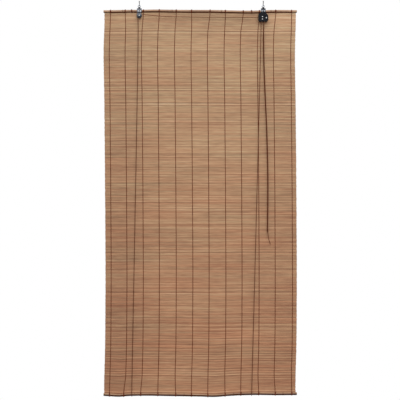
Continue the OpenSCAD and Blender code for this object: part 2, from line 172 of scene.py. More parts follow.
def new_finish(name):
    """New material, its tree and its Principled shader."""
    material = bpy.data.materials.new(name)
    material.use_nodes = True
    return material, material.node_tree, material.node_tree.nodes["Principled BSDF"]


CAMERA_AT = (-0.8 * MM, -5, -0.822)
SENSOR_MM, LENS_MM = 36, 108.7


def camera():
    """Camera straight in front of the blind, level with its middle."""
    lens = bpy.data.cameras.new("front_camera")
    lens.sensor_width, lens.lens = SENSOR_MM, LENS_MM
    obj = bpy.data.objects.new("front_camera", lens)
    obj.location = CAMERA_AT
    obj.rotation_euler = (math.radians(90), 0, 0)
    scene.collection.objects.link(obj)
    scene.camera = obj


# Cord routes of the part's source, in metres
CORD_R = 1.2 * MM
LEFT_FRONT = [(-0.258, -0.0096, -0.0595), (-0.257, -0.0096, -0.088), (-0.2564, -0.0095, -0.13),
              (-0.2826, -0.0075, -1.6), (-0.283, -0.0075, -1.63)]
RIGHT_FRONT = [(0.251, -0.0138, -0.0755), (0.2512, -0.0138, -0.1045), (0.2136, -0.0075, -1.6),
               (0.213, -0.0075, -1.63)]
LEFT_BACK = [(-0.283, 0.0075, -0.046), (-0.283, 0.0075, -1.63)]
RIGHT_BACK = [(0.213, 0.0075, -0.046), (0.213, 0.0075, -1.63)]
LEFT_LOOP = [(-0.283, -0.0075, -1.63), (-0.283, -0.0065, -1.6338), (-0.283, -0.0038, -1.6365),
             (-0.283, 0, -1.6375), (-0.283, 0.0038, -1.6365), (-0.283, 0.0065, -1.6338),
             (-0.283, 0.0075, -1.63)]
RIGHT_LOOP = [(0.213, -0.0075, -1.63), (0.213, -0.0065, -1.6338), (0.213, -0.0038, -1.6365),
              (0.213, 0, -1.6375), (0.213, 0.0038, -1.6365), (0.213, 0.0065, -1.6338),
              (0.213, 0.0075, -1.63)]
CROSS = [(-0.258, -0.0096, -0.0595), (-0.2572, -0.0096, -0.0565), (-0.255, -0.0096, -0.0543),
         (-0.252, -0.0096, -0.0535), (-0.24, -0.0096, -0.0544), (-0.2, -0.0096, -0.0593),
         (-0.166, -0.0096, -0.0622), (-0.129, -0.0096, -0.0642), (-0.1, -0.0096, -0.0652),
         (-0.05, -0.0096, -0.0662), (0.02, -0.0096, -0.0668), (0.12, -0.0096, -0.067),
         (0.22, -0.0096, -0.0678), (0.257, -0.0096, -0.0695), (0.26, -0.0096, -0.0703),
         (0.2622, -0.0096, -0.0725), (0.263, -0.0096, -0.0755), (0.263, -0.0096, -0.0895)]
LOCK = [(0.251, -0.0138, -0.0755), (0.2518, -0.0138, -0.0725), (0.254, -0.0138, -0.0703),
        (0.257, -0.0138, -0.0695), (0.26, -0.0138, -0.0703), (0.2622, -0.0138, -0.0725),
        (0.263, -0.0138, -0.0755), (0.263, -0.0138, -0.0895)]
LEFT_TAIL = [(0.263, -0.0096, -0.0895), (0.261, -0.0096, -0.118), (0.2604, -0.0096, -0.16),
             (0.261, -0.0096, -0.21), (0.262, -0.0096, -0.26), (0.2642, -0.0096, -0.32),
             (0.2666, -0.0096, -0.38), (0.2698, -0.0096, -0.45), (0.273, -0.0096, -0.52),
             (0.2752, -0.0096, -0.59), (0.2771, -0.0096, -0.66), (0.2782, -0.0096, -0.74),
             (0.2782, -0.0096, -0.82), (0.2773, -0.0096, -0.89), (0.2768, -0.0096, -0.957)]
RIGHT_TAIL = [(0.263, -0.0138, -0.0895), (0.2626, -0.0133, -0.118), (0.2628, -0.0125, -0.16),
              (0.2634, -0.0113, -0.21), (0.2646, -0.0103, -0.26), (0.2668, -0.0098, -0.32),
              (0.2692, -0.0096, -0.38), (0.2724, -0.0096, -0.45), (0.2756, -0.0096, -0.52),
              (0.2778, -0.0096, -0.59), (0.2797, -0.0096, -0.66), (0.2808, -0.0096, -0.74),
              (0.2808, -0.0096, -0.82), (0.2799, -0.0096, -0.89), (0.2795, -0.0096, -0.945),
              (0.2799, -0.0096, -0.958), (0.2808, -0.0096, -0.97), (0.2825, -0.0096, -0.98),
              (0.2847, -0.0096, -0.989), (0.2876, -0.0096, -0.998), (0.29, -0.0096, -1.005)]
# Where the cords go round the canes
LOOP_X = [LEFT_LOOP[0][0], RIGHT_LOOP[0][0]]


def smooth_run(route, per_span):
    """Smooth curve through a route's points, which passes evenly over short and long spans."""
    p = np.array(route, float)
    gaps = np.sqrt(np.linalg.norm(np.diff(p, axis=0), axis=1))
    slope = np.gradient(p, np.append(0, np.cumsum(gaps)), axis=0)
    t = np.arange(per_span)[:, None] / per_span
    spans = [curve(t, p[i], p[i + 1], gap * slope[i], gap * slope[i + 1]) for i, gap in enumerate(gaps)]
    return np.vstack(spans + [p[-1:]])


def lengths_along(run):
    """Length of a run up to each of its points."""
    return np.append(0, np.cumsum(np.linalg.norm(np.diff(run, axis=0), axis=1)))


def place(name, mesh, material, body):
    """A finished mesh becomes a piece that rides on a body."""
    mesh.materials.clear()
    mesh.materials.append(material)
    obj = bpy.data.objects.new(name, mesh)
    scene.collection.objects.link(obj)
    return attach(obj, body)


def tube(name, runs, radius, material, body, corners, lay):
    """Closed tubes along runs; the UV map counts lays of the strands along a tube and turns round it."""
    line = bpy.data.curves.new(name, "CURVE")
    line.dimensions, line.use_fill_caps = "3D", True
    line.bevel_depth, line.bevel_resolution = radius, corners
    for run in runs:
        spline = line.splines.new("POLY")
        spline.points.add(len(run) - 1)
        spline.points.foreach_set("co", np.hstack([run, np.ones((len(run), 1))]).ravel())
    holder = bpy.data.objects.new(name + "_line", line)
    scene.collection.objects.link(holder)
    mesh = bpy.data.meshes.new_from_object(holder.evaluated_get(bpy.context.evaluated_depsgraph_get()))
    bpy.data.objects.remove(holder)
    bpy.data.curves.remove(line)
    # The curve's own map counts points along a tube, and the caps come before the sides
    uv = np.empty(len(mesh.loops) * 2, np.float32)
    mesh.uv_layers[0].data.foreach_get("uv", uv)
    faces_round = 4 + 2 * corners
    sides = [(len(run) - 1) * faces_round * 4 for run in runs]
    start = len(mesh.loops) - sum(sides)
    for run, count in zip(runs, sides):
        part = uv[0::2][start:start + count]
        part[:] = (lengths_along(run) / lay)[np.rint(part * (len(run) - 1)).astype(int)]
        start += count
    mesh.uv_layers[0].data.foreach_set("uv", uv)
    bm = bmesh.new()
    bm.from_mesh(mesh)
    bmesh.ops.remove_doubles(bm, verts=bm.verts, dist=0.001 * MM)
    bmesh.ops.recalc_face_normals(bm, faces=bm.faces)
    for face in bm.faces:
        face.smooth = len(face.verts) == 4
    bm.to_mesh(mesh)
    bm.free()
    mesh.name = name
    return place(name, mesh, material, body)


def knot(at, size, turn):
    """Closed run of an overhand knot round a point, drawn tight."""
    a = np.linspace(0, TURN, 33)
    run = np.stack([np.sin(a) + 2 * np.sin(2 * a), 0.9 * np.sin(3 * a), np.cos(a) - 2 * np.cos(2 * a)], 1)
    spin = np.array(Matrix.Rotation(turn, 3, "Y"))
    return np.array(at) + size / 3 * (run @ spin.T)


# Scale of the wave that makes three strands in one turn and in one lay, and the lays of cord and thread
STRANDS = 3 * math.sqrt(2) * math.pi / 10
CORD_LAY, STRING_LAY = 6 * MM, 4.5 * MM
DYE_SPOT = 11 * MM


def thread_finish(name, dark, light, rough, second_lay):
    # Twisted or braided cotton, dyed brown: matt, with dye spots, and strands painted paler on their crowns
    # and darker in the grooves between them as painted shade
    material, tree, shader = new_finish(name)
    at = add(tree, "ShaderNodeTexCoord")
    strands = []
    for angle in (45, second_lay):
        turned = add(tree, "ShaderNodeMapping", {
            "Vector": at.outputs["UV"], "Rotation": (0, 0, math.radians(angle))}).outputs[0]
        strands.append(add(tree, "ShaderNodeTexWave", {
            "Vector": turned, "Scale": STRANDS, "Distortion": 0.3}).outputs["Fac"])
    braid = add(tree, "ShaderNodeMath", dict(enumerate(strands)), operation="MAXIMUM").outputs[0]
    spots = add(tree, "ShaderNodeTexNoise", {
        "Vector": at.outputs["Object"], "Scale": 1 / DYE_SPOT, "Detail": 3.0}).outputs["Fac"]
    # The strand pattern darkens the grooves between strands: painted shade
    tone = add(tree, "ShaderNodeMath", {0: braid, 1: spots}, operation="MULTIPLY").outputs[0]
    dye = add(tree, "ShaderNodeValToRGB", {"Fac": tone}, [(0.1, dark), (0.55, light)])
    bump = add(tree, "ShaderNodeBump", {"Height": braid, "Strength": 0.7, "Distance": 0.2 * MM})
    wire(tree, shader, {"Base Color": dye.outputs["Color"], "Normal": bump.outputs[0],
                        "Roughness": rough, "Specular IOR Level": 0.08})
    return material


camera()
cord_finish = thread_finish("braided_cotton_cord", "#461E12", "#66311E", 0.85, -45)
string_finish = thread_finish("twisted_cotton_thread", "#56210F", "#7E3B1F", 0.9, 45)


def cord_piece(name, runs, body, radius=CORD_R):
    """Piece made of lift cord."""
    return tube(name, runs, radius, cord_finish, body, corners=2, lay=CORD_LAY)


def thread_piece(name, runs, body, radius):
    """Piece made of string."""
    return tube(name, runs, radius, string_finish, body, corners=1, lay=STRING_LAY)


def lift_cord(name, node, run):
    """Cord along a run, in place of its CAD node."""
    obj = cord_piece(name, [run], "blind")
    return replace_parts(obj, node)


def shorten(obj):
    """Gives the piece its own copy of its mesh."""
    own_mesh(obj)


# Height above the foot cane from which a cord follows the cane's bend
DROP_REACH = 0.3


def foot_drop(run, x):
    """A run that reaches the foot cane follows the cane's bend there."""
    run = run.copy()
    reach = np.clip((FOOT_Z + DROP_REACH - run[:, 2]) / DROP_REACH, 0, 1)
    run[:, 2] += float(through(FOOT_BEND, x)) * ease(reach)
    return run


# Turns of a cord round the head cane, the angle at which they start, their spacing in cord radii, and how
# much thinner the cord is drawn there
WRAPS, WRAP_START, WRAP_PITCH, WRAP_THIN = 2, 0.5, 2.02, 0.97


def cord_knot(side, x):
    """The turns of a cord round the head cane, its way up to them and the knot behind them."""
    z = HEAD_Z + float(through(HEAD_BEND, x))
    r = HEAD_R + SEAT + CORD_R
    turn = np.linspace(0, WRAPS * TURN, 49)
    turns = np.stack([x + (turn / TURN - WRAPS / 2) * WRAP_PITCH * CORD_R,
                      r * np.cos(turn + WRAP_START), z + r * np.sin(turn + WRAP_START)], 1)
    lead = smooth_run([(x, 7.5 * MM, -46 * MM), (x, 8.2 * MM, -43.5 * MM), (x, 8.4 * MM, -40.5 * MM)], 5)
    ball = knot((x, 8.2 * MM, z), 1.9 * MM, 0.6)
    obj = cord_piece(side + "_knot_cord", [turns, lead, ball], "blind", CORD_R * WRAP_THIN)
    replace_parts(obj, side + "_cord_knot")


for side, front, back, loop in (("left", LEFT_FRONT, LEFT_BACK, LEFT_LOOP),
                                ("right", RIGHT_FRONT, RIGHT_BACK, RIGHT_LOOP)):
    loop_x = loop[0][0]
    for part, route, per_span in (("_front_", front, 12), ("_back_", back, 36)):
        run = foot_drop(smooth_run(route, per_span), loop_x)
        obj = lift_cord(side + part + "cord", side + part + "run", run)
        shorten(obj)
    run = foot_drop(smooth_run(loop, 4), loop_x)
    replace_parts(cord_piece(side + "_loop_cord", [run], "foot_rail"), side + "_foot_loop")
    cord_knot(side, loop_x)

lift_cord("cross_lift_cord", "cross_cord", smooth_run(CROSS, 3))
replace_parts(cord_piece("lock_wheel_cord", [smooth_run(LOCK, 4)], "blind"), "lock_cord")
lift_cord("left_pull_cord", "left_pull_tail", smooth_run(LEFT_TAIL, 2))
lift_cord("right_pull_cord", "right_pull_tail", smooth_run(RIGHT_TAIL, 2))


def cane_finish():
    # Bamboo cane, oiled: hard skin with long fibres, a dark stain at the nodes, and painted shade darkening
    # its underside, so that its top stays pale
    material, tree, shader = new_finish("stained_bamboo_cane")
    at = add(tree, "ShaderNodeTexCoord").outputs["Object"]
    drawn_out = add(tree, "ShaderNodeMapping", {"Vector": at, "Scale": marks_of(55, 1.4, 1.4)}).outputs[0]
    fibres = add(tree, "ShaderNodeTexNoise", {
        "Vector": drawn_out, "Scale": 1.0, "Detail": 3.0, "Roughness": 0.6}).outputs["Fac"]
    broad = add(tree, "ShaderNodeMapping", {"Vector": at, "Scale": marks_of(110, 16, 16)}).outputs[0]
    patches = add(tree, "ShaderNodeTexNoise", {"Vector": broad, "Scale": 1.0, "Detail": 2.0}).outputs["Fac"]
    tone = add(tree, "ShaderNodeMix", {"Factor": 0.5, "A": fibres, "B": patches}).outputs[0]
    skin = add(tree, "ShaderNodeValToRGB", {"Fac": tone}, [
        (0.3, "#7E5C44"), (0.5, "#A57E5F"), (0.7, "#CBA684")]).outputs["Color"]
    stain_and_shade = add(tree, "ShaderNodeAttribute", attribute_name="stain_and_shade").outputs["Fac"]
    # The stain colour darkens the nodes as a real stain, and the underside as painted shade
    dark = add(tree, "ShaderNodeMix", {MIX_FACTOR: stain_and_shade, MIX_A: skin, MIX_B: linear("#38190D")},
               data_type="RGBA")
    gloss = add(tree, "ShaderNodeMapRange", {"Value": stain_and_shade, "To Min": 0.5, "To Max": 0.02})
    bump = add(tree, "ShaderNodeBump", {"Height": fibres, "Strength": 0.35, "Distance": 0.2 * MM})
    wire(tree, shader, {"Base Color": dark.outputs[MIX_RESULT], "Specular IOR Level": gloss.outputs[0],
                        "Normal": bump.outputs[0], "Roughness": 0.42})
    return material


# A cane's end: a hollow that narrows from its rim to its floor, and a chamfer
HOLLOW_DEPTH, HOLLOW_FLOOR_R, HOLLOW_RIM_R, CHAMFER = 5 * MM, 1.2 * MM, 1.5 * MM, 0.6 * MM
# A cane's stations along its length, more of them round a node, and how uneven it is
STATION = 8 * MM
NODE_STATIONS = (-4, -2.4, -1.5, -0.7, 0, 0.7, 1.5, 2.6, 5)
UNEVEN = 0.05 * MM
# A node swells the cane, with a groove on each side of it and a stain in the one on its right
SWELL, SWELL_REACH = 0.55 * MM, 2.2 * MM
GROOVE, GROOVE_AT, GROOVE_REACH = 0.25 * MM, 1.5 * MM, 0.6 * MM
NODE_STAIN, NODE_STAIN_REACH = 0.6, 1.6 * MM
# The painted shade on a cane's underside, and the share of its radius over which it sets in
UNDER_PAINTED_SHADE, UNDER_EDGE = 0.97, 0.35


def cane(name, node, z, radius, nodes, bend, dark_from, material, body):
    """Bamboo cane: a profile with swollen nodes is spun round, then the cane takes its bends."""
    end = [(-CANE_END + HOLLOW_DEPTH, 0), (-CANE_END + HOLLOW_DEPTH, HOLLOW_FLOOR_R),
           (-CANE_END, HOLLOW_RIM_R), (-CANE_END, radius - CHAMFER), (-CANE_END + CHAMFER, radius)]
    stations = sorted(list(np.arange(-CANE_END + STATION, CANE_END - STATION / 2, STATION))
                      + [x + d * MM for x in nodes for d in NODE_STATIONS])
    profile = list(end)
    for x, uneven in zip(stations, rng.normal(0, UNEVEN, len(stations))):
        off = min(abs(x - n) for n in nodes)
        swell = SWELL * math.exp(-(off / SWELL_REACH) ** 2)
        groove = GROOVE * math.exp(-((off - GROOVE_AT) / GROOVE_REACH) ** 2)
        profile.append((x, radius + uneven + swell - groove))
    profile += [(-x, r) for x, r in reversed(end)]
    bm = bmesh.new()
    verts = [bm.verts.new((x, 0, r)) for x, r in profile]
    edges = [bm.edges.new(pair) for pair in zip(verts, verts[1:])]
    bmesh.ops.spin(bm, geom=verts + edges, cent=(0, 0, 0), axis=(1, 0, 0), angle=TURN, steps=20,
                   use_merge=True)
    bmesh.ops.remove_doubles(bm, verts=bm.verts, dist=0.01 * MM)
    bmesh.ops.recalc_face_normals(bm, faces=bm.faces)
    stain_and_shade = bm.verts.layers.float.new("stain_and_shade")
    # Each point takes the stain of a node or the painted shade of the underside, whichever is darker
    for v in bm.verts:
        off = min(abs(v.co.x - n - GROOVE_AT) for n in nodes)
        v[stain_and_shade] = max(NODE_STAIN * math.exp(-(off / NODE_STAIN_REACH) ** 2),
                       UNDER_PAINTED_SHADE * float(ease((dark_from - v.co.z / radius) / UNDER_EDGE)))
        v.co.z += z + float(through(bend, v.co.x))
    for face in bm.faces:
        face.smooth = True
    mesh = bpy.data.meshes.new(name)
    bm.to_mesh(mesh)
    bm.free()
    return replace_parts(place(name, mesh, material, body), node)


cane_skin = cane_finish()
# The nodes stand between strings, and the painted shade of the underside sets in at a share of the radius
# above a cane's middle, or below it where the share is negative
HEAD_NODES = [FIRST_STRING + (i + 0.78) * STRING_STEP for i in (0, 3, 6, 9)]
FOOT_NODES = [FIRST_STRING + (i + 0.5) * STRING_STEP for i in (1, 4, 7, 10)]
HEAD_DARK_FROM, FOOT_DARK_FROM = -0.25, 0.5
cane("head_bamboo", "head_cane", HEAD_Z, HEAD_R, HEAD_NODES, HEAD_BEND, HEAD_DARK_FROM, cane_skin,
     "blind")
cane("foot_bamboo", "foot_cane", FOOT_Z, FOOT_R, FOOT_NODES, FOOT_BEND, FOOT_DARK_FROM, cane_skin,
     "foot_rail")

SLATS = 314
SLAT_STEP = (MAT_TOP - MAT_FOOT) / SLATS
SLAT_T = 1.7 * MM
SLAT_STATIONS = 25
FRONT_ROUND, BACK_ROUND = 0.55 * MM, 0.3 * MM
# The top slat is notched where the cords go round the cane, which cuts it into five lengths
NOTCH_LEFT, NOTCH_RIGHT = -2.4 * MM, 3.1 * MM
NOTCH_HEIGHT = 0.7
TOP_LENGTHS = 5
# A slat's tone runs from 0, dark, to 1, pale: the middle, the spread from slat to slat, the share of its
# neighbours' tones that it departs by, and how much paler the last slat but one is
TONE_MIDDLE, TONE_SPREAD, TONE_CONTRAST, PALE_SLAT = 0.5, 0.08, 0.3, 0.35
FOOT_DARKER, LEFT_DARKER, LEFT_FOOT_DARKER, RIGHT_DARKER = 0.13, 0.08, 0.07, 0.07
UPPER_SLATS, UPPER_RIGHT_PALER, UPPER_DARKER = 45, 0.29, 0.09
# A slat's hue runs from 0, red, to 1, straw: at the top, and what it loses down to the foot
HUE_TOP, HUE_FALL = 0.82, 0.6


def slat_finish():
    # Split bamboo, smoked and sanded: satin, with long fibres and a tone that changes from slat to slat
    material, tree, shader = new_finish("split_bamboo")
    at = add(tree, "ShaderNodeTexCoord").outputs["Object"]
    tone = add(tree, "ShaderNodeAttribute", attribute_name="slat_tone").outputs["Fac"]
    hue = add(tree, "ShaderNodeAttribute", attribute_name="slat_hue").outputs["Fac"]
    drawn_out = add(tree, "ShaderNodeMapping", {"Vector": at, "Scale": marks_of(45, 1.2, 0.6)}).outputs[0]
    fibres = add(tree, "ShaderNodeTexNoise", {
        "Vector": drawn_out, "Scale": 1.0, "Detail": 5.0, "Roughness": 0.7}).outputs["Fac"]
    broad = add(tree, "ShaderNodeMapping", {"Vector": at, "Scale": marks_of(50, 6.5, 3)}).outputs[0]
    streaks = add(tree, "ShaderNodeTexNoise", {"Vector": broad, "Scale": 1.0, "Detail": 2.0}).outputs["Fac"]
    blend = add(tree, "ShaderNodeMix", {"Factor": 0.6, "A": fibres, "B": streaks}).outputs[0]
    grain = add(tree, "ShaderNodeMapRange", {
        "Value": blend, "From Min": 0.3, "From Max": 0.7, "To Min": -0.22, "To Max": 0.22}).outputs[0]
    shade = add(tree, "ShaderNodeMath", {0: tone, 1: grain}, operation="ADD").outputs[0]
    wood = add(tree, "ShaderNodeValToRGB", {"Fac": shade}, [
        (0.0, "#82634F"), (0.3, "#A38067"), (0.55, "#BB987B"), (0.8, "#CEAF94"), (1.0, "#E0C7AE")])
    tint = add(tree, "ShaderNodeMix", {MIX_FACTOR: hue, MIX_A: linear("#FFE1CE"), MIX_B: linear("#FBFFF0")},
               data_type="RGBA")
    tinted = add(tree, "ShaderNodeMix", {
        MIX_FACTOR: 1.0, MIX_A: wood.outputs["Color"], MIX_B: tint.outputs[MIX_RESULT]},
        data_type="RGBA", blend_type="MULTIPLY")
    rough = add(tree, "ShaderNodeMapRange", {"Value": fibres, "To Min": 0.45, "To Max": 0.65})
    bump = add(tree, "ShaderNodeBump", {"Height": fibres, "Strength": 0.5, "Distance": 0.2 * MM})
    wire(tree, shader, {"Base Color": tinted.outputs[MIX_RESULT], "Roughness": rough.outputs[0],
                        "Normal": bump.outputs[0], "Specular IOR Level": 0.35})
    return material


def slat_strip():
    """One slat with rounded edges, cut across at its stations."""
    bm = bmesh.new()
    bmesh.ops.create_cube(bm, size=1, matrix=Matrix.Diagonal((2 * MAT_SIDE, SLAT_T, SLAT_STEP, 1)))
    face_at = 0.4 * SLAT_T
    for front, offset, segments in ((True, FRONT_ROUND, 2), (False, BACK_ROUND, 1)):
        edges = [e for e in bm.edges if abs(e.verts[0].co.x - e.verts[1].co.x) > MAT_SIDE
                 and all((v.co.y < -face_at) == front and abs(v.co.y) > face_at for v in e.verts)]
        bmesh.ops.bevel(bm, geom=edges, offset=offset, segments=segments, profile=0.5, affect="EDGES",
                        material=-1)
    for x in np.linspace(-MAT_SIDE, MAT_SIDE, SLAT_STATIONS)[1:-1]:
        bmesh.ops.bisect_plane(bm, geom=bm.verts[:] + bm.edges[:] + bm.faces[:], plane_co=(x, 0, 0),
                               plane_no=(1, 0, 0))
    bmesh.ops.recalc_face_normals(bm, faces=bm.faces)
    strip = bpy.data.meshes.new("strip")
    bm.to_mesh(strip)
    bm.free()
    return strip


def slat_mat():
    """Copies of the strip, each with its own width, thickness, ends, set, tone and hue."""
    cuts = [-MAT_SIDE] + [x + d for x in LOOP_X for d in (NOTCH_LEFT, NOTCH_RIGHT)] + [MAT_SIDE]
    spans = list(zip(cuts, cuts[1:])) + [(-MAT_SIDE, MAT_SIDE)] * (SLATS - 1)
    row = np.array([0] * (TOP_LENGTHS - 1) + list(range(SLATS)))[:, None]
    share = np.ones((len(spans), 1))
    share[1:TOP_LENGTHS:2] = NOTCH_HEIGHT
    strip = slat_strip()
    mat = bmesh.new()
    for _ in spans:
        mat.from_mesh(strip, face_normals=False, vertex_normals=False)
    mesh = bpy.data.meshes.new("split_slats")
    mat.to_mesh(mesh)
    mat.free()
    bpy.data.meshes.remove(strip)

    co = np.empty(len(mesh.vertices) * 3)
    mesh.vertices.foreach_get("co", co)
    x, y, z = np.moveaxis(co.reshape(len(spans), -1, 3), 2, 0)
    left, right = np.array(spans).T[:, :, None]
    x = (left + right) / 2 + x * (right - left) / (2 * MAT_SIDE)
    across = x / (2 * MAT_SIDE) + 0.5
    down = row / SLATS

    def each(low, high):
        """A value for each slat; the lengths of the top slat share theirs."""
        drawn = rng.uniform(low, high, (len(spans), 1))
        drawn[1:TOP_LENGTHS] = drawn[0]
        return drawn

    def waves(fewest, most):
        """A wave along each slat, with its own number of turns and its own start."""
        return np.sin(TURN * (across * each(fewest, most) + each(0, 1)))

    def batches(*sorts):
        """Slanting waves over many slats, each given as slats in a turn, turns across the mat and start."""
        return sum(np.sin(TURN * (row / slats + turns * across + start)) for slats, turns, start in sorts)

    tilt = each(-0.08 * MM, 0.08 * MM)
    crook = each(0.03 * MM, 0.12 * MM) * waves(0.6, 2.2)
    z = z * share * each(1.05, 1.11) + tilt * (2 * across - 1) + crook
    z = z + MAT_TOP - (row + 1 - share / 2) * SLAT_STEP
    y = y * each(0.85, 1.15) + each(-0.25 * MM, 0.25 * MM)
    ends = np.where(across < 0.5, each(-0.6 * MM, 0.5 * MM), each(-0.5 * MM, 0.6 * MM))
    x = x + ends * np.abs(2 * across - 1) ** 8
    dx, dy, dz = hang(x, z)
    mesh.vertices.foreach_set("co", np.stack([x + dx, y + dy, z + dz], 2).ravel())

    tone = np.clip(rng.normal(0, 1, (len(spans), 1)), -2.2, 2.2) * TONE_SPREAD
    tone = tone - TONE_CONTRAST * (np.roll(tone, 1, 0) + np.roll(tone, -1, 0))
    tone[-2] = PALE_SLAT
    tone[1:TOP_LENGTHS] = tone[0]
    tone = tone + 0.035 * waves(0.5, 1.6)
    tone = tone + 0.03 * waves(2, 5)
    # The mat is darker towards its foot and both sides, and near the top it is pale on the right
    tone = tone - FOOT_DARKER * down - RIGHT_DARKER * ease((across - 0.7) / 0.25)
    tone = tone - (LEFT_DARKER + LEFT_FOOT_DARKER * down) * ease((0.35 - across) / 0.3)
    upper = ease(1 - row / UPPER_SLATS)
    tone = tone + upper * (UPPER_RIGHT_PALER * ease((across - 0.74) / 0.2)
                           - UPPER_DARKER * ease((across - 0.15) / 0.25))
    # Canes of one batch lie together, so the tone and the hue also change over many slats
    tone = tone + 0.019 * batches((43, 1.4, 0), (71, -0.9, 0.3), (19, 2.3, 0.7))
    hue = HUE_TOP - HUE_FALL * down + each(-0.2, 0.2) + 0.07 * batches((27, -1.7, 0.15), (58, 1.1, 0.6))
    hue = hue + 0.12 * waves(0.7, 2.0)
    for name, values in (("slat_tone", TONE_MIDDLE + tone), ("slat_hue", np.clip(hue, 0, 1))):
        layer = mesh.attributes.new(name, "FLOAT", "POINT")
        layer.data.foreach_set("value", values.astype(np.float32).ravel())
    mesh.update()
    obj = place("split_slats", mesh, slat_finish(), "blind")
    shorten(obj)
    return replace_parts(obj, "slat_mat")


slat_mat()

STRING_R, LASHING_R, BINDING_R = 1.15 * MM, 0.8 * MM, 0.85 * MM
# A string's points for each slat, its sway to the sides, its distance from the mat's middle between slats
# and what it rises by over a slat
POINTS_PER_SLAT = 4
SWAY, BETWEEN_SLATS, OVER_SLAT = 0.5 * MM, 1.0 * MM, 0.6 * MM


def warp_strings(name, node, face):
    """Threads of one face of the mat: over each slat and in between it and the next."""
    runs = []
    step = np.arange(SLATS * POINTS_PER_SLAT + 1) / POINTS_PER_SLAT
    z = MAT_TOP - step * SLAT_STEP
    y = face * (BETWEEN_SLATS + OVER_SLAT * np.sin(math.pi * (step % 1)) ** 0.7)
    for k in range(STRINGS):
        x = string_x(k, z) + SWAY * np.cos(math.pi * step + k)
        dx, dy, dz = hang(x, z)
        runs.append(np.stack([x + dx, y + dy, z + dz], 1))
    obj = thread_piece(name, runs, "blind", STRING_R)
    shorten(obj)
    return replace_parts(obj, node)


warp_strings("front_threads", "front_strings", -1)
warp_strings("back_threads", "back_strings", 1)

LASHING_TURNS = 3


def cane_lashings(name, node, z, radius, bend, mat_edge, side, body):
    """At each string: the thread comes off the mat, goes round the cane and is knotted in front."""
    runs = []
    r = radius + SEAT + LASHING_R
    turn = np.linspace(0, LASHING_TURNS * TURN, 46)
    angle = turn - side * math.pi / 2
    for k in range(STRINGS):
        x = float(string_x(k, z)) + float(through(MAT_BOW, z))
        middle = z + float(through(bend, x))
        runs.append(np.stack([x + (turn / TURN - LASHING_TURNS / 2) * 1.8 * LASHING_R,
                              -r * np.cos(angle), middle + r * np.sin(angle)], 1))
        mat_x = string_x(k, mat_edge) + through(MAT_BOW, mat_edge)
        for face in (-1, 1):
            runs.append(smooth_run([(mat_x, face * 1.3 * MM, mat_edge - side * 2 * MM),
                                    (x, face * 2.4 * MM, middle - side * (radius + 1.2 * MM)),
                                    (x, face * r * 0.8, middle - side * r * 0.62)], 4))
        tie = np.array([x + rng.uniform(-0.6, 0.6) * MM, -r - 0.9 * MM,
                        middle - side * rng.uniform(0.5, 2.5) * MM])
        runs.append(knot(tie, 1.3 * MM, rng.uniform(0, 3)))
        tip = tie + [rng.uniform(-3, 3) * MM, -0.3 * MM, -rng.uniform(3, 6) * MM]
        sag = (tie + tip) / 2 + [0.6 * MM, -0.6 * MM, 0.5 * MM]
        runs.append(smooth_run([tie, sag, tip], 3))
    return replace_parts(thread_piece(name, runs, body, LASHING_R), node)


# The binding thread's clearance from each lashing, its distance from the cane's skin to its middle, and
# the angle below level at which it lies, with how far that strays
BINDING_CLEAR, BINDING_OFF = 2.6 * MM, 0.95 * MM
BINDING_ANGLE, BINDING_STRAY = 70, 6


def binding_thread():
    """Thread that runs on from lashing to lashing in the corner of the head cane and the top slat."""
    stops = sorted([float(string_x(k, HEAD_Z)) for k in range(STRINGS)] + LOOP_X)
    runs = []
    r = HEAD_R + BINDING_OFF
    share = np.linspace(0, 1, 9)
    for start, end in zip(stops, stops[1:]):
        x = start + BINDING_CLEAR + share * (end - start - 2 * BINDING_CLEAR)
        stray = rng.uniform(-BINDING_STRAY, BINDING_STRAY) * np.sin(math.pi * share)
        angle = np.radians(BINDING_ANGLE + stray)
        middle = HEAD_Z + through(HEAD_BEND, x)
        runs.append(np.stack([x, -r * np.cos(angle), middle - r * np.sin(angle)], 1))
    thread_piece("binding_thread", runs, "blind", BINDING_R)


binding_thread()
cane_lashings("head_threads", "head_lashings", HEAD_Z, HEAD_R, HEAD_BEND, MAT_TOP, 1, "blind")
cane_lashings("foot_threads", "foot_lashings", FOOT_Z, FOOT_R, FOOT_BEND, MAT_FOOT, -1, "foot_rail")


def metal_finish(name, dark, light, gloss, dull, grit):
    # Plated or rolled metal: the tone and the gloss vary with handling marks of the given size
    material, tree, shader = new_finish(name)
    at = add(tree, "ShaderNodeTexCoord").outputs["Object"]
    marks = add(tree, "ShaderNodeTexNoise", {
        "Vector": at, "Scale": 1 / grit, "Detail": 4.0, "Roughness": 0.6}).outputs["Fac"]
    tone = add(tree, "ShaderNodeValToRGB", {"Fac": marks}, [(0.35, dark), (0.65, light)])
    rough = add(tree, "ShaderNodeMapRange", {
        "Value": marks, "From Min": 0.3, "From Max": 0.7, "To Min": gloss, "To Max": dull})
    wire(tree, shader, {"Base Color": tone.outputs["Color"], "Roughness": rough.outputs[0],
                        "Metallic": 1.0})
    return material


# Bands of painted highlight and painted shade on the sheet: shares of the height from this far below the
# head cane to as far above it
BAND_REACH = 40 * MM
LEFT_BANDS = [(0.4, "#232529"), (0.45, "#3A3C42"), (0.52, "#60636A"), (0.6, "#74777E"), (0.63, "#5A5D64"),
              (0.65, "#111214"), (0.7, "#151618"), (0.73, "#8B8D91"), (0.8, "#B4B6B9")]
RIGHT_BANDS = [(0.37, "#1C1D20"), (0.45, "#2C2E33"), (0.52, "#45484F"), (0.58, "#5C5F66"),
               (0.62, "#44474D"), (0.645, "#0E0F10"), (0.7, "#131416"), (0.73, "#8B8D91"), (0.8, "#B4B6B9")]
# Painted light and painted shade of the cheek, by height
CHEEK_BANDS = [(0.14, "#222327"), (0.23, "#303236"), (0.31, "#585B61"), (0.38, "#5C5F65"),
               (0.42, "#313236")]
RUB_MARK = 4 * MM


